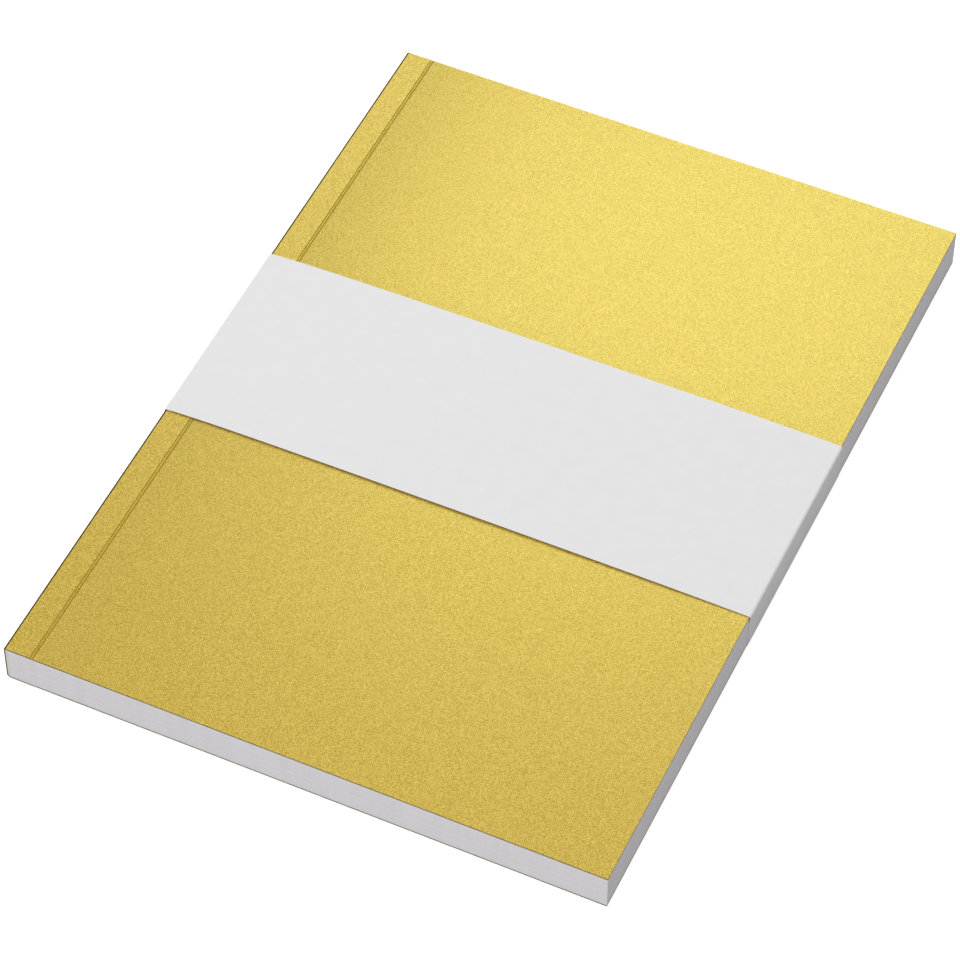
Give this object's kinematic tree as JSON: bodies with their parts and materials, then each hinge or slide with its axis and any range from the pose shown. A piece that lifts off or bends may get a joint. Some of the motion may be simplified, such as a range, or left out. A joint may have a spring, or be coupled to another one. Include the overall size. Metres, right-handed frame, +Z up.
{
  "type": "softcover notebook",
  "caption": "Softcover notebook: a flush-trimmed leaf block in a scored wrap-round card cover, held shut by a paper belly band that slides off along it.",
  "frame": {"origin": "centre of the notebook's outline, on the plane that the belly band's underside rests on", "axes": "+Z up through the front cover, +Y towards the head, +X from the spine to the fore edge"},
  "size_m": [0.149, 0.21, 0.0115],
  "materials": {
    "page_paper": "matte",
    "cover_card": "satin",
    "band_paper": "matte",
    "binding_glue": "satin"
  },
  "bodies": {
    "notebook": {"page_block": "page_paper", "spine_glue": "binding_glue", "cover": "cover_card"},
    "band": {"belly_band": "band_paper", "band_glue": "binding_glue"}
  },
  "joints": [
    {"name": "band_slide", "type": "slide", "parent": "notebook", "child": "band", "axis": [0, 1, 0], "range_m": [-0.136, 0.134]}
  ]
}
